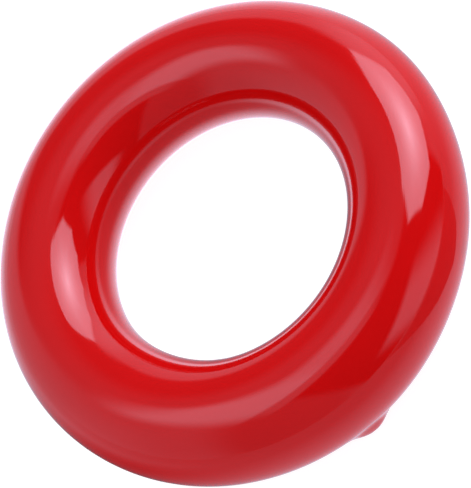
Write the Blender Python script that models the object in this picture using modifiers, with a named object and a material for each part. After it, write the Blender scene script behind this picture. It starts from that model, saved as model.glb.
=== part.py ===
"""A weighted exercise ring, lying flat: a cast iron ring inside a thick skin of dipped vinyl.

The ring turns about +Z and its lowest point is at z = 0, so the origin is under the middle of its hole.
"tube" below means the ring's round body, and a place on it has two angles. The turn is the angle round the
ring, from +X towards +Y. The lift is the angle round the tube, 0 on the outer side and 90 degrees on top.
"""

from math import atan2, cos, hypot, pi, radians, sin

import bmesh
import bpy
from mathutils import Vector

MM = 0.001

# Driving dimensions
RING_RADIUS = 23.5 * MM  # from the ring's axis to the middle of its tube
CORE_RADIUS = 5.5 * MM  # of the iron, across its round section
BOND_GAP = 0.3 * MM  # between the iron and the vinyl, where the primer film is
SKIN_THICKNESS = 1.5 * MM

# The seam left where the halves of the sand mould met
SEAM_HEIGHT = 0.2 * MM
SEAM_HALF_WIDTH = 0.9 * MM

# The ring hangs on a thin pin while it drains, and the last drops gather and set round the pin as a nub that
# is longer along the ring than across it
NUB_TURN = radians(-45.8)
NUB_LIFT = radians(-49.5)
NUB_HEIGHT = 1.42 * MM
NUB_HALF_LENGTH = 4.4 * MM
NUB_HALF_WIDTH = 2.4 * MM
PIN_RADIUS = 0.6 * MM
PIN_DEPTH = 3.0 * MM  # how far the pin's socket goes into the iron
LIP_RADIUS = 0.2 * MM  # of the rounded mouth of the pin hole

# Where the vinyl set thicker or thinner because it ran down: the height that this adds at its middle, the
# middle's turn and lift, and how far it reaches back and on round the ring, and either way round the tube
OUTER_SAG = {
    "height": 0.55 * MM,
    "turn": radians(-45.0),
    "back": radians(105.0),
    "on": radians(48.0),
    "lift": radians(-30.0),
    "reach": radians(54.0),
}
INNER_SAG = {
    "height": 0.26 * MM,
    "turn": radians(-103.0),
    "back": radians(38.0),
    "on": radians(38.0),
    "lift": radians(172.0),
    "reach": radians(60.0),
}
THIN_PLACE = {
    "height": -0.31 * MM,
    "turn": radians(28.0),
    "back": radians(34.0),
    "on": radians(34.0),
    "lift": radians(-12.0),
    "reach": radians(60.0),
}

# How finely round shapes are cut. One side of the skin's section faces straight down, for the ring to lie
# on, because its number of sides is four times a whole number, and two more.
RING_STEPS = 64
SKIN_SIDES = 30
CORE_SIDES = 24
NUB_CUTS = 3  # of each edge of the skin near the nub
PIN_STEPS = 24
LIP_STEPS = 3

CAVITY_RADIUS = CORE_RADIUS + BOND_GAP
SKIN_RADIUS = CAVITY_RADIUS + SKIN_THICKNESS
TUBE_HEIGHT = SKIN_RADIUS * cos(pi / SKIN_SIDES)  # of the tube's middle, with the flat side on z = 0

VINYL_RED = (0.55, 0.004, 0.006)
IRON_GREY = (0.12, 0.115, 0.11)


def clear_scene():
    for obj in list(bpy.data.objects):
        bpy.data.objects.remove(obj, do_unlink=True)


def collection(name):
    made = bpy.data.collections.new(name)
    bpy.context.scene.collection.children.link(made)
    return made


def material(name, colour, roughness, metallic):
    made = bpy.data.materials.new(name)
    made.use_nodes = True
    shader = made.node_tree.nodes["Principled BSDF"]
    shader.inputs["Base Color"].default_value = (*colour, 1.0)
    shader.inputs["Roughness"].default_value = roughness
    shader.inputs["Metallic"].default_value = metallic
    return made


def move_to(obj, group):
    for old in list(obj.users_collection):
        old.objects.unlink(obj)
    group.objects.link(obj)
    return obj


def turned(name, profile, steps, group, closed):
    """A profile of (distance from the axis, height) points, turned about the object's own Z."""
    mesh = bpy.data.meshes.new(name)
    shape = bmesh.new()
    points = [shape.verts.new((x, 0.0, z)) for x, z in profile]
    for first, second in zip(points, points[1:]):
        shape.edges.new((first, second))
    if closed:
        shape.edges.new((points[-1], points[0]))
    shape.to_mesh(mesh)
    shape.free()
    obj = bpy.data.objects.new(name, mesh)
    group.objects.link(obj)
    screw = obj.modifiers.new("turn", "SCREW")
    screw.axis = "Z"
    screw.steps = screw.render_steps = steps
    screw.use_merge_vertices = True
    screw.merge_threshold = 0.00001
    screw.use_smooth_shade = True
    return obj


def helper(obj):
    """Marks a cutter, which isn't part of the object."""
    obj.hide_render = True
    obj.display_type = "WIRE"
    return obj


def cut(obj, cutter):
    modifier = obj.modifiers.new(cutter.name, "BOOLEAN")
    modifier.operation = "DIFFERENCE"
    modifier.object = cutter


def ring_section(radius):
    """The iron's round section, grown to radius, with the mould seam's ridge on its outer and inner side."""
    points = []
    for side in range(CORE_SIDES):
        lift = -2 * pi * side / CORE_SIDES
        off_seam = radius * abs(sin(lift)) / SEAM_HALF_WIDTH
        reach = radius + SEAM_HEIGHT * max(0.0, 1.0 - off_seam)
        points.append((RING_RADIUS + reach * cos(lift), reach * sin(lift)))
    return points


def iron_ring(name, radius, group):
    ring = turned(name, ring_section(radius), RING_STEPS, group, closed=True)
    ring.location.z = TUBE_HEIGHT
    return ring


def angle_apart(first, second):
    return (first - second + pi) % (2 * pi) - pi


def run_height(run, turn, lift):
    """What a run of the vinyl adds here: a smooth hump, from its full height to nothing at its reach."""
    across = angle_apart(turn, run["turn"])
    across /= run["on"] if across > 0 else run["back"]
    up = angle_apart(lift, run["lift"]) / run["reach"]
    if abs(across) >= 1.0 or abs(up) >= 1.0:
        return 0.0
    return run["height"] * (cos(across * pi / 2) * cos(up * pi / 2)) ** 2


def nub_distance(turn, lift):
    """How far this place is from the nub's middle over the skin, as a share of the way to the nub's foot."""
    along = angle_apart(turn, NUB_TURN) * (RING_RADIUS + SKIN_RADIUS * cos(NUB_LIFT))
    across = angle_apart(lift, NUB_LIFT) * SKIN_RADIUS
    return hypot(along / NUB_HALF_LENGTH, across / NUB_HALF_WIDTH)


def rise(turn, lift):
    """The height of the vinyl above a plain torus at this place: its runs and, near the pin, the nub."""
    runs = sum(run_height(run, turn, lift) for run in (OUTER_SAG, INNER_SAG, THIN_PLACE))
    return runs + NUB_HEIGHT * max(0.0, 1.0 - nub_distance(turn, lift) ** 2) ** 2


def place_on_tube(point):
    """The turn and lift of a point, and the middle of the tube there."""
    turn = atan2(point.y, point.x)
    middle = Vector((RING_RADIUS * cos(turn), RING_RADIUS * sin(turn), 0.0))
    lift = atan2(point.z, hypot(point.x, point.y) - RING_RADIUS)
    return turn, lift, middle


def dipped_ring(name, group):
    """The skin's outer surface: a torus with its vertices moved out by the vinyl's rise, finer at the nub."""
    bpy.ops.mesh.primitive_torus_add(
        major_radius=RING_RADIUS,
        minor_radius=SKIN_RADIUS,
        major_segments=RING_STEPS,
        minor_segments=SKIN_SIDES,
    )
    ring = bpy.context.active_object
    ring.name = ring.data.name = name

    shape = bmesh.new()
    shape.from_mesh(ring.data)
    near = []
    for edge in shape.edges:
        turn, lift, _ = place_on_tube((edge.verts[0].co + edge.verts[1].co) / 2)
        if nub_distance(turn, lift) < 1.0:
            near.append(edge)
    bmesh.ops.subdivide_edges(shape, edges=near, cuts=NUB_CUTS, use_grid_fill=True)
    for vertex in shape.verts:
        turn, lift, middle = place_on_tube(vertex.co)
        outward = (vertex.co - middle).normalized()
        vertex.co = middle + outward * (SKIN_RADIUS + rise(turn, lift))
    shape.to_mesh(ring.data)
    shape.free()

    ring.data.shade_smooth()
    ring.location.z = TUBE_HEIGHT
    return move_to(ring, group)


def pin_hole(name, group):
    """The pin's space: a round shaft that flares at the nub's crown, so that the hole has a rounded mouth.

    Its own Z points out of the tube through the nub, and its origin is in the middle of the tube.
    """
    mouth = SKIN_RADIUS + rise(NUB_TURN, NUB_LIFT)
    foot = CORE_RADIUS - PIN_DEPTH
    profile = [(0.0, mouth + LIP_RADIUS), (PIN_RADIUS + LIP_RADIUS, mouth + LIP_RADIUS)]
    for step in range(LIP_STEPS + 1):
        bend = pi / 2 * step / LIP_STEPS
        profile.append((PIN_RADIUS + LIP_RADIUS * (1 - sin(bend)), mouth - LIP_RADIUS * (1 - cos(bend))))
    profile += [(PIN_RADIUS, foot), (0.0, foot)]
    shaft = turned(name, profile, PIN_STEPS, group, closed=False)

    outward = Vector((cos(NUB_LIFT) * cos(NUB_TURN), cos(NUB_LIFT) * sin(NUB_TURN), sin(NUB_LIFT)))
    middle = Vector((RING_RADIUS * cos(NUB_TURN), RING_RADIUS * sin(NUB_TURN), TUBE_HEIGHT))
    shaft.rotation_mode = "QUATERNION"
    shaft.rotation_quaternion = outward.to_track_quat("Z", "Y")
    shaft.location = middle
    return shaft


def main():
    clear_scene()
    parts = collection("weighted_exercise_ring")
    helpers = collection("cutters")

    pin = helper(pin_hole("pin_space", helpers))
    cavity = helper(iron_ring("core_space", CAVITY_RADIUS, helpers))

    core = iron_ring("iron_core", CORE_RADIUS, parts)
    cut(core, pin)
    core.data.materials.append(material("cast_iron", IRON_GREY, 0.62, 1.0))

    skin = dipped_ring("vinyl_skin", parts)
    cut(skin, cavity)
    cut(skin, pin)
    skin.data.materials.append(material("dipped_vinyl", VINYL_RED, 0.06, 0.0))


main()
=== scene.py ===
"""Builds the finished look of a weighted exercise ring: cast iron in a thick, glossy skin of dipped vinyl.

The ring turns about +Z and lies on z = 0. A place on its round tube has two angles. The turn is the angle
round the ring, from +X towards +Y. The lift is the angle round the tube, 0 outside and 90 degrees on top.
"""

from math import atan2, cos, degrees, hypot, pi, radians, sin

import bmesh
import bpy
from mathutils import Matrix, Quaternion, Vector, noise


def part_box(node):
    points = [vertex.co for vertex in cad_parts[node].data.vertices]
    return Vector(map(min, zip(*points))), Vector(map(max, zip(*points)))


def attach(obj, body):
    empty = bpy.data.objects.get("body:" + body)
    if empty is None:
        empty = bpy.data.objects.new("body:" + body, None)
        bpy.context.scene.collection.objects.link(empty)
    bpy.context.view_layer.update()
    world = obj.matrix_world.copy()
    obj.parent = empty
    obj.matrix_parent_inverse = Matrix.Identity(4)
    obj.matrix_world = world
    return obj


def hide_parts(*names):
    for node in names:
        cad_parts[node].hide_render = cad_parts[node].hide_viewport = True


bl_info = {
    "name": "Weighted Exercise Ring",
    "version": (1, 0, 0),
    "blender": (4, 5, 0),
    "location": "3D View > Sidebar > Exercise Ring",
    "description": "Models a cast iron exercise ring in dipped vinyl, and a small studio to see it in",
    "category": "Add Mesh",
}

MM = 0.001

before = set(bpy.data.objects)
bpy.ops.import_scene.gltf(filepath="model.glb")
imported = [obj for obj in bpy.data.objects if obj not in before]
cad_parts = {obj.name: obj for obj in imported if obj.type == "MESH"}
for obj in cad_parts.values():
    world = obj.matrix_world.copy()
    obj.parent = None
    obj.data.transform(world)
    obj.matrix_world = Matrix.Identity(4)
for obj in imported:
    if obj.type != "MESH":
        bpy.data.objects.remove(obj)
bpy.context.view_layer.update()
IRON_LOW, IRON_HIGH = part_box("iron_core")
SKIN_LOW, SKIN_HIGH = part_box("vinyl_skin")


def linear(hex_colour):
    """An sRGB hex colour such as "C0181C" as linear red, green and blue."""
    shares = [int(hex_colour[place : place + 2], 16) / 255 for place in (0, 2, 4)]
    return [share / 12.92 if share <= 0.04045 else ((share + 0.055) / 1.055) ** 2.4 for share in shares]


def length(name, description, default):
    return bpy.props.FloatProperty(
        name=name, description=description, default=default, unit="LENGTH", precision=5
    )


def angle(name, description, in_degrees):
    return bpy.props.FloatProperty(
        name=name, description=description, default=radians(in_degrees), unit="ROTATION"
    )


def colour(name, description, hex_colour):
    return bpy.props.FloatVectorProperty(
        name=name, description=description, default=linear(hex_colour), subtype="COLOR", min=0.0, max=1.0
    )


def number(name, description, default):
    return bpy.props.FloatProperty(name=name, description=description, default=default)


SEAM = 0.2 * MM
IRON_RADIUS = (IRON_HIGH.z - IRON_LOW.z) / 2
RING_RADIUS = IRON_HIGH.x - IRON_RADIUS - SEAM
MIDDLE_HEIGHT = (IRON_HIGH.z + IRON_LOW.z) / 2
SKIN_RADIUS = (SKIN_HIGH.z - SKIN_LOW.z) / 2

# The grain of the sand mould has a second, finer grain in it
FINE_GRAIN = {"finer": 2.3, "share": 0.5}

# How finely the pieces are cut, round the ring and round the tube. Near the pin hole a patch of this grid
# is taken out, and even rings of faces close in on the hole, from a gap inside the patch.
SKIN_GRID = {"turns": 320, "sides": 84}
IRON_GRID = {"turns": 300, "sides": 72}
SKIN_PATCH = 3.6 * MM
SKIN_STEP = 0.4 * MM
IRON_PATCH = 2.4 * MM
IRON_STEP = 0.3 * MM
PATCH_GAP = 0.8 * MM
LIP_STEPS = 6
SAME_POINT = 0.001 * MM  # points nearer than this are one


class VinylRun(bpy.types.PropertyGroup):
    """A place where the liquid vinyl ran, so that it set thicker or thinner."""

    height: length("Height", "What it adds to the skin at its middle, below zero where it is thin", 0.0)
    turn: angle("Turn", "Where its middle is round the ring", 0.0)
    back: angle("Reach back", "How far it goes back round the ring", 90.0)
    on: angle("Reach on", "How far it goes on round the ring", 90.0)
    lift: angle("Lift", "Where its middle is round the tube", 0.0)
    reach: angle("Reach round the tube", "How far it goes either way round the tube", 60.0)


class RingShape(bpy.types.PropertyGroup):
    """The sizes of the ring and of what the dipping left on it."""

    ring_radius: length("Ring radius", "From the axis to the middle of the tube", RING_RADIUS)
    middle_height: length("Middle height", "The height of the tube's middle", MIDDLE_HEIGHT)
    skin_radius: length("Skin radius", "The outer radius of the tube", SKIN_RADIUS)
    iron_radius: length("Iron radius", "The radius of the iron inside the tube", IRON_RADIUS)
    bond_gap: length("Bond gap", "Between the iron and the vinyl, for the primer film", 0.3 * MM)
    seam_height: length("Seam height", "How far the mould seam stands out of the iron", SEAM)
    seam_half_width: length("Seam half width", "From the seam's ridge to its foot", 0.9 * MM)
    sand_height: length("Sand height", "How rough the sand mould left the iron", 0.06 * MM)
    sand_size: length("Sand size", "The size of the iron's bumps and pits", 0.9 * MM)
    swim_height: length("Swim height", "How uneven the vinyl set", 0.012 * MM)
    swim_size: length("Swim size", "From one swell in the vinyl to the next", 9.0 * MM)
    nub_turn: angle("Nub turn", "Where the nub is round the ring", -45.8)
    nub_lift: angle("Nub lift", "Where the nub is round the tube", -49.5)
    nub_height: length("Nub height", "How far the nub stands out of the skin", 1.42 * MM)
    nub_along: length("Nub along", "From the nub's middle to its foot, along the ring", 4.4 * MM)
    nub_across: length("Nub across", "From the nub's middle to its foot, round the tube", 2.4 * MM)
    pin_radius: length("Pin radius", "The radius of the hole that the dipping pin left", 0.6 * MM)
    pin_depth: length("Pin depth", "How far the pin's socket goes into the iron", 3.0 * MM)
    lip_radius: length("Lip radius", "Of the rounded mouth of the pin hole", 0.2 * MM)
    runs: bpy.props.CollectionProperty(type=VinylRun, name="Runs", description="Where the vinyl ran")


class RingFinish(bpy.types.PropertyGroup):
    """The colours of the ring's materials."""

    vinyl: colour("Vinyl", "The pigment of the dipped vinyl", "D00A0A")
    vinyl_deep: colour("Deep vinyl", "The vinyl where it set thicker", "C50808")
    iron: colour("Iron", "The cast iron's skin", "3B3A38")
    iron_pit: colour("Iron pits", "Black scale left in the iron's pits", "1C1B1A")


class Studio(bpy.types.PropertyGroup):
    """The camera, the floor and the light."""

    azimuth: angle("Azimuth", "Where the camera is, from +X towards +Y", 327.204)
    elevation: angle("Elevation", "How high the camera is over the middle of the ring", 56.147)
    distance: length("Distance", "From the camera to the middle of the ring", 348.12 * MM)
    aim_x: length("Aim X", "What the camera looks at, from the ring's middle", 1.06 * MM)
    aim_y: length("Aim Y", "What the camera looks at, from the ring's middle", -0.87 * MM)
    roll: angle("Roll", "How far the camera is turned about its own axis", -50.782)
    lens: number("Lens", "The camera's focal length in mm, for a sensor 36 mm on its long side", 211.96)
    floor: colour("Floor", "The opal sheet of the light table that the ring lies on", "8C8C8C")
    table_glow: number("Table glow", "How bright the light table is from below", 0.92)
    room: colour("Room", "The pale room round the studio", "BFBFC2")


def scene_settings():
    scene = bpy.context.scene
    return scene.ring_shape, scene.ring_finish, scene.ring_studio


RUNS = (
    dict(name="outer sag", height=0.55 * MM, turn=-45, back=105, on=48, lift=-30, reach=54),
    dict(name="inner sag", height=0.26 * MM, turn=-103, back=38, on=38, lift=172, reach=60),
    dict(name="thin place", height=-0.31 * MM, turn=28, back=34, on=34, lift=-12, reach=60),
)


def fill_runs(shape):
    """Gives the ring the runs that it starts with."""
    shape.runs.clear()
    for given in RUNS:
        run = shape.runs.add()
        run.name = given["name"]
        run.height = given["height"]
        for part in ("turn", "back", "on", "lift", "reach"):
            setattr(run, part, radians(given[part]))


def angle_apart(first, second):
    return (first - second + pi) % (2 * pi) - pi


def run_height(run, turn, lift):
    """What a run adds here: a smooth hump, from its full height to nothing at its reach."""
    across = angle_apart(turn, run.turn)
    across /= run.on if across > 0 else run.back
    up = angle_apart(lift, run.lift) / run.reach
    if abs(across) >= 1.0 or abs(up) >= 1.0:
        return 0.0
    return run.height * (cos(across * pi / 2) * cos(up * pi / 2)) ** 2


class Tube:
    """The ring's round tube: turns a place, which is a turn and a lift, into a point, and back."""

    def __init__(self, shape):
        self.shape = shape
        self.runs = list(shape.runs)
        self.nub_reach = shape.ring_radius + shape.skin_radius * cos(shape.nub_lift)

    def point(self, turn, lift, radius):
        out = self.shape.ring_radius + radius * cos(lift)
        return Vector((out * cos(turn), out * sin(turn), self.shape.middle_height + radius * sin(lift)))

    def place(self, point):
        out = hypot(point.x, point.y) - self.shape.ring_radius
        return atan2(point.y, point.x), atan2(point.z - self.shape.middle_height, out)

    def from_nub(self, turn, lift):
        """A place's way from the nub's middle over the skin, along the ring and round the tube."""
        along = angle_apart(turn, self.shape.nub_turn) * self.nub_reach
        return along, angle_apart(lift, self.shape.nub_lift) * self.shape.skin_radius

    def at_nub(self, along, across):
        """The place that is this way from the nub's middle, along the ring and round the tube."""
        turn = self.shape.nub_turn + along / self.nub_reach
        return turn, self.shape.nub_lift + across / self.shape.skin_radius

    def skin(self, turn, lift):
        """The vinyl's outer radius, with its runs, its nub and the faint swell of a liquid that set."""
        shape = self.shape
        radius = shape.skin_radius + sum(run_height(run, turn, lift) for run in self.runs)
        along, across = self.from_nub(turn, lift)
        share = hypot(along / shape.nub_along, across / shape.nub_across)
        radius += shape.nub_height * max(0.0, 1.0 - share**2) ** 2
        swell = noise.noise(self.point(turn, lift, radius) / shape.swim_size)
        return radius + shape.swim_height * swell

    def cavity(self, turn, lift):
        """The radius of the vinyl's inner wall, which follows the iron and its seam."""
        return self.shape.iron_radius + self.shape.bond_gap + self.seam(lift)

    def iron(self, turn, lift):
        """The iron's radius: round, with its mould seam and the grain of the sand."""
        shape = self.shape
        radius = shape.iron_radius + self.seam(lift)
        spot = self.point(turn, lift, radius) / shape.sand_size
        grain = noise.noise(spot) + FINE_GRAIN["share"] * noise.noise(spot * FINE_GRAIN["finer"])
        return radius + shape.sand_height * grain

    def seam(self, lift):
        """How far the mould seam stands out of the iron: a ridge at the inner and the outer side."""
        off = self.shape.iron_radius * abs(sin(lift)) / self.shape.seam_half_width
        return self.shape.seam_height * max(0.0, 1.0 - off)


def spun_ring(tube, radius_at, turns, sides):
    """A bmesh of the ring: a circle spun about +Z, whose points then go out to radius_at(turn, lift)."""
    mesh = bmesh.new()
    bmesh.ops.create_circle(mesh, segments=sides, radius=tube.shape.skin_radius)
    stand = Matrix.Translation((tube.shape.ring_radius, 0.0, tube.shape.middle_height))
    bmesh.ops.transform(mesh, matrix=stand @ Matrix.Rotation(pi / 2, 4, "X"), verts=mesh.verts)
    section = mesh.verts[:] + mesh.edges[:]
    bmesh.ops.spin(mesh, geom=section, axis=(0.0, 0.0, 1.0), angle=2 * pi, steps=turns, use_merge=True)
    bmesh.ops.remove_doubles(mesh, verts=mesh.verts, dist=SAME_POINT)
    for vertex in mesh.verts:
        turn, lift = tube.place(vertex.co)
        vertex.co = tube.point(turn, lift, radius_at(turn, lift))
    return mesh


def open_at_nub(mesh, tube, reach):
    """Takes out the faces within reach of the nub's middle, and returns the edges round the opening."""
    near = []
    for face in mesh.faces:
        place = tube.place(face.calc_center_median())
        if hypot(*tube.from_nub(*place)) < reach:
            near.append(face)
    bmesh.ops.delete(mesh, geom=near, context="FACES")
    return [edge for edge in mesh.edges if edge.is_boundary]


def next_ring(mesh, edges, move):
    """Extrudes a loop of edges, moves each new point by move(point), and returns the new loop."""
    made = bmesh.ops.extrude_edge_only(mesh, edges=edges)["geom"]
    for vertex in [part for part in made if isinstance(part, bmesh.types.BMVert)]:
        vertex.co = move(vertex.co)
    return [part for part in made if isinstance(part, bmesh.types.BMEdge) and part.is_boundary]


def close_in(tube, radius_at, distance, sunk=0.0):
    """A move for next_ring: to a distance from the nub's middle, over radius_at and sunk below it."""

    def move(point):
        along, across = tube.from_nub(*tube.place(point))
        share = distance / hypot(along, across)
        turn, lift = tube.at_nub(along * share, across * share)
        return tube.point(turn, lift, radius_at(turn, lift) - sunk)

    return move


def shrinking(start, end, step):
    """Distances from start down to end, about a step apart, ending at end."""
    count = max(1, round((start - end) / step))
    return [start + (end - start) * (index + 1) / count for index in range(count)]


def close_on_hole(mesh, tube, radius_at, hole, patch, step):
    """Puts rings of faces round a hole at the nub, in place of the grid, and returns the hole's edges."""
    edges = open_at_nub(mesh, tube, patch)
    for distance in shrinking(patch - PATCH_GAP, hole, step):
        edges = next_ring(mesh, edges, close_in(tube, radius_at, distance))
    return edges


def finish_piece(mesh, name, material, node):
    """Makes an object of a bmesh, in place of a CAD node, riding on the ring's one body."""
    bmesh.ops.recalc_face_normals(mesh, faces=mesh.faces)
    data = bpy.data.meshes.new(name)
    mesh.to_mesh(data)
    mesh.free()
    data.shade_smooth()
    data.materials.append(material)
    piece = bpy.data.objects.new(name, data)
    bpy.context.scene.collection.objects.link(piece)
    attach(piece, "root")
    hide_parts(node)
    return piece


def add_node(tree, kind, settings=None, links=None):
    """Adds a node, sets its own values and its sockets' values, and links its inputs to other sockets."""
    node = tree.nodes.new(kind)
    for key, value in (settings or {}).items():
        if key in node.inputs:
            node.inputs[key].default_value = value
        else:
            setattr(node, key, value)
    for key, source in (links or {}).items():
        tree.links.new(source, node.inputs[key])
    return node


# A Mix node's colour sockets, by number because its other sockets have the same names
MIX_FIRST, MIX_SECOND, MIX_RESULT = 6, 7, 2

# From one cloud, patch of veil, grain or fibre to the next, and how deep the iron's and the opal's are
VINYL_CLOUD = 14 * MM
VINYL_VEIL = 6 * MM
IRON_GRAIN = 0.5 * MM
IRON_GRAIN_DEPTH = 0.04 * MM
OPAL_FIBRE = 0.8 * MM
OPAL_FIBRE_DEPTH = 0.02 * MM


def new_material(name):
    material = bpy.data.materials.new(name)
    material.use_nodes = True
    material.node_tree.nodes.clear()
    return material, material.node_tree


def show(tree, shader, kind="ShaderNodeOutputMaterial"):
    add_node(tree, kind, links={"Surface": shader.outputs[0]})


def dipped_vinyl(finish):
    """Plastisol vinyl, dipped hot and fused: it levels like a liquid, so it mirrors like wet paint.

    The pigment is even. The vinyl is a little deeper in colour in broad clouds, where it set thicker, and
    a faint veil of handling makes its gloss a little less than perfect in patches.
    """
    material, tree = new_material("dipped_vinyl")
    place = add_node(tree, "ShaderNodeTexCoord").outputs["Object"]
    broad = {"Scale": 1 / VINYL_CLOUD, "Detail": 2.0}
    clouds = add_node(tree, "ShaderNodeTexNoise", broad, {"Vector": place})
    pigment = add_node(tree, "ShaderNodeMix", {"data_type": "RGBA"}, {"Factor": clouds.outputs["Fac"]})
    pigment.inputs[MIX_FIRST].default_value = (*finish.vinyl, 1.0)
    pigment.inputs[MIX_SECOND].default_value = (*finish.vinyl_deep, 1.0)
    patchy = {"Scale": 1 / VINYL_VEIL, "Detail": 4.0}
    veil = add_node(tree, "ShaderNodeTexNoise", patchy, {"Vector": place})
    gloss = add_node(
        tree,
        "ShaderNodeMapRange",
        {"From Min": 0.35, "From Max": 0.7, "To Min": 0.035, "To Max": 0.06},
        {"Value": veil.outputs["Fac"]},
    )
    shader = add_node(
        tree,
        "ShaderNodeBsdfPrincipled",
        {"IOR": 1.45},
        {"Base Color": pigment.outputs[MIX_RESULT], "Roughness": gloss.outputs["Result"]},
    )
    show(tree, shader)
    return material


def cast_iron(finish):
    """Grey cast iron as it left its sand mould: dull and grainy, with black scale in the pits."""
    material, tree = new_material("cast_iron")
    place = add_node(tree, "ShaderNodeTexCoord").outputs["Object"]
    sandy = {"Scale": 1 / IRON_GRAIN, "Detail": 6.0}
    grain = add_node(tree, "ShaderNodeTexNoise", sandy, {"Vector": place})
    scale = add_node(
        tree,
        "ShaderNodeMapRange",
        {"From Min": 0.4, "From Max": 0.62},
        {"Value": grain.outputs["Fac"]},
    )
    skin = add_node(tree, "ShaderNodeMix", {"data_type": "RGBA"}, {"Factor": scale.outputs["Result"]})
    skin.inputs[MIX_FIRST].default_value = (*finish.iron_pit, 1.0)
    skin.inputs[MIX_SECOND].default_value = (*finish.iron, 1.0)
    dull = add_node(
        tree,
        "ShaderNodeMapRange",
        {"To Min": 0.8, "To Max": 0.5},
        {"Value": scale.outputs["Result"]},
    )
    bump = add_node(
        tree,
        "ShaderNodeBump",
        {"Strength": 0.5, "Distance": IRON_GRAIN_DEPTH},
        {"Height": grain.outputs["Fac"]},
    )
    shader = add_node(
        tree,
        "ShaderNodeBsdfPrincipled",
        {"Metallic": 0.85},
        {
            "Base Color": skin.outputs[MIX_RESULT],
            "Roughness": dull.outputs["Result"],
            "Normal": bump.outputs["Normal"],
        },
    )
    show(tree, shader)
    return material


class ExerciseRingAddSkin(bpy.types.Operator):
    """Add the dipped vinyl skin, with its runs, its nub and the hole of the dipping pin"""

    bl_idname = "exercise_ring.add_skin"
    bl_label = "Vinyl Skin"

    def execute(self, context):
        shape, finish, _ = scene_settings()
        tube = Tube(shape)
        cavity = spun_ring(tube, tube.cavity, **SKIN_GRID)
        close_on_hole(cavity, tube, tube.cavity, shape.pin_radius, SKIN_PATCH, SKIN_STEP)
        wall = bpy.data.meshes.new("cavity")
        cavity.to_mesh(wall)
        cavity.free()

        mesh = spun_ring(tube, tube.skin, **SKIN_GRID)
        lip = shape.lip_radius
        mouth = close_on_hole(mesh, tube, tube.skin, shape.pin_radius + lip, SKIN_PATCH, SKIN_STEP)
        for index in range(LIP_STEPS):
            bend = pi / 2 * (index + 1) / LIP_STEPS
            distance = shape.pin_radius + lip * (1 - sin(bend))
            mouth = next_ring(mesh, mouth, close_in(tube, tube.skin, distance, lip * (1 - cos(bend))))

        outside = set(mesh.edges)
        mesh.from_mesh(wall)
        bpy.data.meshes.remove(wall)
        foot = [edge for edge in mesh.edges if edge.is_boundary and edge not in outside]
        bmesh.ops.bridge_loops(mesh, edges=mouth + foot)
        finish_piece(mesh, "dipped_vinyl_skin", dipped_vinyl(finish), "vinyl_skin")
        return {"FINISHED"}


class ExerciseRingAddIron(bpy.types.Operator):
    """Add the cast iron ring inside, with its mould seam and the socket of the dipping pin"""

    bl_idname = "exercise_ring.add_iron"
    bl_label = "Iron Core"

    def execute(self, context):
        shape, finish, _ = scene_settings()
        tube = Tube(shape)
        mesh = spun_ring(tube, tube.iron, **IRON_GRID)
        mouth = close_on_hole(mesh, tube, tube.iron, shape.pin_radius, IRON_PATCH, IRON_STEP)
        mouth = next_ring(mesh, mouth, close_in(tube, tube.iron, shape.pin_radius, shape.pin_depth))
        bmesh.ops.holes_fill(mesh, edges=mouth)
        finish_piece(mesh, "cast_iron_core", cast_iron(finish), "iron_core")
        return {"FINISHED"}


def toward(azimuth, elevation):
    """The direction of an azimuth and an elevation."""
    return Vector((cos(elevation) * cos(azimuth), cos(elevation) * sin(azimuth), sin(elevation)))


SENSOR_WIDTH = 36.0  # of the camera, in mm


def add_camera(shape, studio):
    data = bpy.data.cameras.new("camera")
    data.lens = studio.lens
    data.sensor_width = SENSOR_WIDTH
    camera = bpy.data.objects.new("camera", data)
    bpy.context.scene.collection.objects.link(camera)
    middle = Vector((0.0, 0.0, shape.middle_height))
    camera.location = middle + toward(studio.azimuth, studio.elevation) * studio.distance
    look = middle + Vector((studio.aim_x, studio.aim_y, 0.0)) - camera.location
    camera.rotation_mode = "QUATERNION"
    camera.rotation_quaternion = look.to_track_quat("-Z", "Y") @ Quaternion((0.0, 0.0, 1.0), studio.roll)
    bpy.context.scene.camera = camera


# The panels of the light tent, from the back to the front: each hides what is behind it. The azimuth and
# elevation that a panel is at say where its own axes start, turned by its roll. On them it reaches from its
# left to its right (x) and from its low to its high side (y), and each of the four sides fades over its own
# width. All of these are in degrees.
PANELS = (
    dict(name="far cloth", at=(180, 8), roll=0, x=(-50, 45), y=(-30, 30), fade=(30, 30, 10, 28), glow=1.0),
    dict(name="dim side", at=(290, 30), roll=0, x=(-28, 28), y=(-40, 45), fade=(25, 20, 20, 20), glow=0.34),
    dict(name="low cloth", at=(115, 0), roll=0, x=(-60, 40), y=(-30, 26), fade=(20, 20, 5, 8), glow=0.95),
    dict(name="dim cloth", at=(132, 42), roll=28, x=(-24, 50), y=(-21, 60), fade=(20, 20, 7, 20), glow=0.5),
    dict(name="dark part", at=(150, 25), roll=28, x=(-12, 50), y=(-12, 22), fade=(10, 20, 8, 24), glow=0.15),
    dict(name="opening", at=(0, 28), roll=0, x=(-44, 46), y=(-50, 44), fade=(6, 6, 5, 8), glow=0.04),
    dict(name="window", at=(350, 12), roll=-33, x=(-22, 11), y=(-26, 16), fade=(24, 16, 12, 7), glow=1.6),
    dict(name="ceiling edge", at=(240, 72), roll=0, x=(-22, -8), y=(-14, 24), fade=(3, 3, 10, 10), glow=0.9),
    dict(name="ceiling top", at=(240, 72), roll=0, x=(-12, 11), y=(-5, 27), fade=(5, 15, 4, 18), glow=2.0),
    dict(name="ceiling", at=(240, 72), roll=0, x=(-12, 26), y=(-15, 8), fade=(5, 14, 16, 8), glow=2.75),
    dict(name="key spill", at=(76, 14), roll=0, x=(-22, 14), y=(-14, 18), fade=(20, 16, 20, 8), glow=1.8),
)
TENT_GLOW = 0.78
TENT_RADIUS = 0.8
SPREAD = dict(even=0.5, share=0.6)
TENT_GRID = {"u_segments": 240, "v_segments": 120}
LAMP_COLOUR = "EAEAFF"

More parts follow.
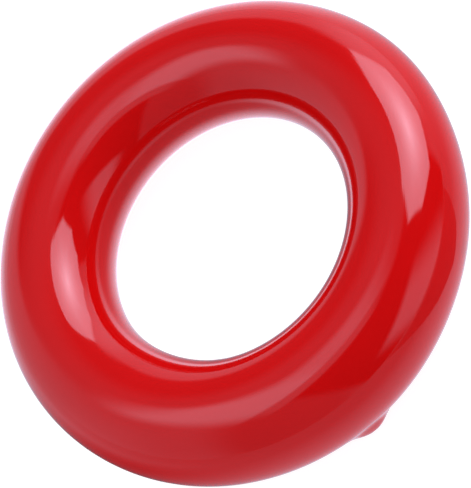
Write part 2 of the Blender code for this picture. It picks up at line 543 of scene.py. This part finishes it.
# The key light is a lit patch of cloth with straight sides and a soft edge, brightest in its middle
KEY = dict(at=(64.7, 40), roll=11, radius=26, sides=8, edge=0.05, middle_glow=13.5, edge_glow=4.8)

# The table as the ring's gloss mirrors it, painted in as a fixed glow: an even glow, with pools of painted
# light and painted shade over it, and the pool called shade is the ring's painted shadow on the table. A
# pool is full at its azimuth and fades over its turn to either side. Going out from the middle of the ring,
# it comes up between the two distances of its rise and goes down between the two of its fall, in mm. A fall
# that is past the end of the painted table reflection never comes.
PAINTED_TABLE_GLOW = 0.6
ALL_ROUND = 9999
PAINTED_POOLS = (
    dict(name="hole", azimuth=0, turn=ALL_ROUND, rise=(-2, -1), fall=(8, 13), glow=0.42),
    dict(name="far side", azimuth=140, turn=115, rise=(9, 16), fall=(2000, 3000), glow=1.45),
    dict(name="far foot", azimuth=148, turn=85, rise=(10, 15.5), fall=(35, 110), glow=2.45),
    dict(name="near foot", azimuth=340, turn=110, rise=(25, 31), fall=(33, 60), glow=1.35),
    # painted shadow: the ring's shadow on the table, painted into the table's reflection
    dict(name="shade", azimuth=245, turn=50, rise=(25, 30), fall=(38, 65), glow=0.12),
    dict(name="near side of the hole", azimuth=315, turn=90, rise=(2, 11), fall=(12, 18), glow=1.15),
)
PAINTED_TABLE_REFLECTION = dict(start=1 * MM, end=500 * MM, height=0.1 * MM, rings=70, turns=60)

# The dark way is a painted dark reflection: a dark sheet over the table that shows only in the gloss. It
# widens from its start to its end by its spread, in degrees to either side. From some way out it carries
# painted light of the window, most of all at the window's side.
WAY = dict(start=39 * MM, end=400 * MM, height=0.4 * MM, rings=24, lanes=12, start_spread=1, spread=33)
# the window's light on the dark way is painted into it, not cast by the window panel
PAINTED_WAY_GLOW = {"dark": 0.2, "window": 1.1, "window_side": -0.25, "from": 78 * MM}

FLOOR_RADIUS = 3.0
FLOOR_SIDES = 96


def soft_step(value):
    value = min(1.0, max(0.0, value))
    return value * value * (3 - 2 * value)


def between(value, sides, fades):
    """1 between two sides and 0 outside them, with a soft edge at each side, as wide as its fade."""
    return soft_step((value - sides[0]) / fades[0] + 0.5) * soft_step((sides[1] - value) / fades[1] + 0.5)


def seen_from(direction, part):
    """A direction as degrees across and up from the middle of a part of the tent, and how far off it is."""
    azimuth, elevation = (radians(value) for value in part["at"])
    turned = Matrix.Rotation(elevation, 3, "Y") @ Matrix.Rotation(-azimuth, 3, "Z") @ direction
    turned = Matrix.Rotation(radians(part["roll"]), 3, "X") @ turned
    across = degrees(atan2(-turned.y, turned.x))
    up = degrees(atan2(turned.z, hypot(turned.x, turned.y)))
    return across, up, degrees(direction.angle(toward(azimuth, elevation)))


def tent_glow(direction):
    """How bright the light tent is in a direction."""
    glow = TENT_GLOW
    for panel in PANELS:
        across, up, _ = seen_from(direction, panel)
        inside = between(across, panel["x"], panel["fade"][:2]) * between(up, panel["y"], panel["fade"][2:])
        glow += (panel["glow"] - glow) * inside
    across, up, off = seen_from(direction, KEY)
    if off >= 90:
        return glow
    corner = 2 * pi / KEY["sides"]
    to_side = cos(atan2(up, across) % corner - corner / 2) / cos(corner / 2)
    share = off * to_side / KEY["radius"]
    key = KEY["edge_glow"] + (KEY["middle_glow"] - KEY["edge_glow"]) * max(0.0, 1.0 - share) ** 2
    return glow + (key - glow) * soft_step((1.0 - share) / KEY["edge"] + 0.5)


def glowing_cloth():
    """White cloth lit from behind by lamps a little bluer than white, as bright as each point's glow; on the
    cards over the table the same glow is a painted reflection.
    """
    material, tree = new_material("tent_cloth_and_painted_reflection_glow")
    glow = add_node(tree, "ShaderNodeAttribute", {"attribute_name": "glow"})
    lamps = {"Color": (*linear(LAMP_COLOUR), 1.0)}
    show(tree, add_node(tree, "ShaderNodeEmission", lamps, {"Strength": glow.outputs["Fac"]}))
    return material


def add_cloth(name, mesh, glow):
    """Lit cloth, or a card of painted reflection, that the camera sees through, with how much it glows at
    each point of its mesh.
    """
    data = bpy.data.meshes.new(name)
    mesh.to_mesh(data)
    data.attributes.new("glow", "FLOAT", "POINT").data.foreach_set("value", glow)
    data.materials.append(glowing_cloth())
    cloth = bpy.data.objects.new(name, data)
    bpy.context.scene.collection.objects.link(cloth)
    cloth.visible_camera = False
    return cloth


def add_tent():
    """A dome of white cloth round the ring.

    The cloth shows in the gloss as it is. The light that it gives the pigment is more even, because the
    cloth's folds spread it, so that is a dome of its own.
    """
    mesh = bmesh.new()
    bmesh.ops.create_uvsphere(mesh, radius=TENT_RADIUS, **TENT_GRID)
    below = [vertex for vertex in mesh.verts if vertex.co.z < -MM]
    bmesh.ops.delete(mesh, geom=below, context="VERTS")
    bmesh.ops.reverse_faces(mesh, faces=mesh.faces)
    glow = [tent_glow(vertex.co.normalized()) for vertex in mesh.verts]
    add_cloth("tent_in_gloss", mesh, glow).visible_diffuse = False
    spread = [SPREAD["even"] + SPREAD["share"] * value for value in glow]
    add_cloth("tent_light", mesh, spread).visible_glossy = False
    mesh.free()


def add_floor(studio):
    """The light table: an opal sheet lit from below, that can be seen through from underneath."""
    mesh = bmesh.new()
    bmesh.ops.create_circle(mesh, cap_ends=True, segments=FLOOR_SIDES, radius=FLOOR_RADIUS)
    data = bpy.data.meshes.new("floor")
    mesh.to_mesh(data)
    mesh.free()
    material, tree = new_material("opal_acrylic")
    place = add_node(tree, "ShaderNodeTexCoord").outputs["Object"]
    fine = {"Scale": 1 / OPAL_FIBRE, "Detail": 3.0}
    fibre = add_node(tree, "ShaderNodeTexNoise", fine, {"Vector": place})
    bump = add_node(
        tree,
        "ShaderNodeBump",
        {"Strength": 0.1, "Distance": OPAL_FIBRE_DEPTH},
        {"Height": fibre.outputs["Fac"]},
    )
    opal = {
        "Base Color": (*studio.floor, 1.0),
        "Roughness": 0.9,
        "Emission Color": (1.0, 1.0, 1.0, 1.0),
        "Emission Strength": studio.table_glow,
    }
    sheet = add_node(tree, "ShaderNodeBsdfPrincipled", opal, {"Normal": bump.outputs["Normal"]})
    clear = add_node(tree, "ShaderNodeBsdfTransparent")
    underneath = add_node(tree, "ShaderNodeNewGeometry").outputs["Backfacing"]
    sides = {0: underneath, 1: sheet.outputs[0], 2: clear.outputs[0]}
    show(tree, add_node(tree, "ShaderNodeMixShader", links=sides))
    data.materials.append(material)
    floor = bpy.data.objects.new("floor", data)
    bpy.context.scene.collection.objects.link(floor)
    floor.visible_glossy = False


def add_card(name, mesh, glow):
    """A sheet of light just over the table that shows only in the ring's gloss, as a painted reflection: it
    lights nothing and casts no shadow.
    """
    bmesh.ops.recalc_face_normals(mesh, faces=mesh.faces)
    card = add_cloth(name, mesh, glow)
    card.visible_diffuse = card.visible_shadow = False
    mesh.free()


def table_glow(azimuth, distance):
    """How bright the painted reflection of the table, with its painted light and shade, is at an azimuth in
    degrees and a distance in mm from the middle of the ring.
    """
    glow = PAINTED_TABLE_GLOW
    for pool in PAINTED_POOLS:
        off = abs((azimuth - pool["azimuth"] + 180) % 360 - 180)
        start, full = pool["rise"]
        last, end = pool["fall"]
        inside = soft_step(1.0 - off / pool["turn"])
        inside *= soft_step((distance - start) / (full - start))
        inside *= soft_step((end - distance) / (end - last))
        glow += (pool["glow"] - glow) * inside
    return glow


def add_painted_table_reflection():
    """The painted reflection of the table, with its painted light and shade, in the gloss: a line of points
    spun round the middle.
    """
    mesh = bmesh.new()
    rings = PAINTED_TABLE_REFLECTION["rings"]
    step = (PAINTED_TABLE_REFLECTION["end"] / PAINTED_TABLE_REFLECTION["start"]) ** (1 / rings)
    points = [mesh.verts.new((PAINTED_TABLE_REFLECTION["start"] * step**ring, 0.0, 0.0)) for ring in range(rings + 1)]
    line = points + [mesh.edges.new(ends) for ends in zip(points, points[1:])]
    turns = PAINTED_TABLE_REFLECTION["turns"]
    bmesh.ops.spin(mesh, geom=line, axis=(0.0, 0.0, 1.0), angle=2 * pi, steps=turns, use_merge=True)
    glow = []
    for vertex in mesh.verts:
        glow.append(table_glow(degrees(atan2(vertex.co.y, vertex.co.x)), vertex.co.length / MM))
        vertex.co.z = PAINTED_TABLE_REFLECTION["height"]
    add_card("painted_table_reflection", mesh, glow)


def painted_way_glow(side, distance):
    """How bright the painted dark reflection, with the window's painted light, is at a side, from -1 to 1,
    and a distance from the middle of the ring.
    """
    far = soft_step((distance - PAINTED_WAY_GLOW["from"]) / (WAY["end"] - PAINTED_WAY_GLOW["from"]))
    under_window = cos(min(1.0, abs(side - PAINTED_WAY_GLOW["window_side"])) * pi / 2) ** 2
    return PAINTED_WAY_GLOW["dark"] + (PAINTED_WAY_GLOW["window"] - PAINTED_WAY_GLOW["dark"]) * far * under_window


def add_painted_dark_reflection():
    """The painted dark reflection in the gloss: a grid whose x goes out along the way and whose y goes
    across it.
    """
    mesh = bmesh.new()
    bmesh.ops.create_grid(mesh, x_segments=WAY["rings"], y_segments=WAY["lanes"], size=1.0)
    glow = []
    for vertex in mesh.verts:
        out, side = (vertex.co.x + 1.0) / 2, vertex.co.y
        distance = WAY["start"] * (WAY["end"] / WAY["start"]) ** out
        spread = WAY["start_spread"] + WAY["spread"] * (1.0 - WAY["start"] / distance) ** 0.5
        glow.append(painted_way_glow(side, distance))
        vertex.co = toward(radians(side * spread), 0.0) * distance + Vector((0.0, 0.0, WAY["height"]))
    add_card("painted_dark_reflection", mesh, glow)


def add_room(studio):
    """The pale room outside the tent, which only the camera sees."""
    world = bpy.data.worlds.new("room")
    world.use_nodes = True
    world.node_tree.nodes.clear()
    shade = add_node(world.node_tree, "ShaderNodeBackground", {"Color": (*studio.room, 1.0)})
    show(world.node_tree, shade, "ShaderNodeOutputWorld")
    bpy.context.scene.world = world
    bpy.context.scene.view_settings.view_transform = "Standard"


class ExerciseRingAddStudio(bpy.types.Operator):
    """Add the camera, the floor, the light tent and the room round it"""

    bl_idname = "exercise_ring.add_studio"
    bl_label = "Studio"

    def execute(self, context):
        shape, _, studio = scene_settings()
        add_camera(shape, studio)
        add_floor(studio)
        add_tent()
        add_painted_table_reflection()
        add_painted_dark_reflection()
        add_room(studio)
        return {"FINISHED"}


class ExerciseRingPanel(bpy.types.Panel):
    """Lists the ring's pieces and the settings that they are made from"""

    bl_idname = "VIEW3D_PT_exercise_ring"
    bl_label = "Exercise Ring"
    bl_space_type = "VIEW_3D"
    bl_region_type = "UI"
    bl_category = "Exercise Ring"

    def draw(self, context):
        layout = self.layout
        for operator in OPERATORS:
            layout.operator(operator.bl_idname)
        for settings in scene_settings():
            box = layout.box()
            for name, prop in settings.bl_rna.properties.items():
                if not prop.is_readonly and name != "name":
                    box.prop(settings, name)


OPERATORS = (ExerciseRingAddSkin, ExerciseRingAddIron, ExerciseRingAddStudio)
CLASSES = (VinylRun, RingShape, RingFinish, Studio, *OPERATORS, ExerciseRingPanel)


def register():
    for cls in CLASSES:
        bpy.utils.register_class(cls)
    bpy.types.Scene.ring_shape = bpy.props.PointerProperty(type=RingShape)
    bpy.types.Scene.ring_finish = bpy.props.PointerProperty(type=RingFinish)
    bpy.types.Scene.ring_studio = bpy.props.PointerProperty(type=Studio)


def unregister():
    for name in ("ring_studio", "ring_finish", "ring_shape"):
        delattr(bpy.types.Scene, name)
    for cls in reversed(CLASSES):
        bpy.utils.unregister_class(cls)


def main():
    register()
    fill_runs(bpy.context.scene.ring_shape)
    bpy.ops.exercise_ring.add_skin()
    bpy.ops.exercise_ring.add_iron()
    bpy.ops.exercise_ring.add_studio()


if __name__ == "__main__":
    main()
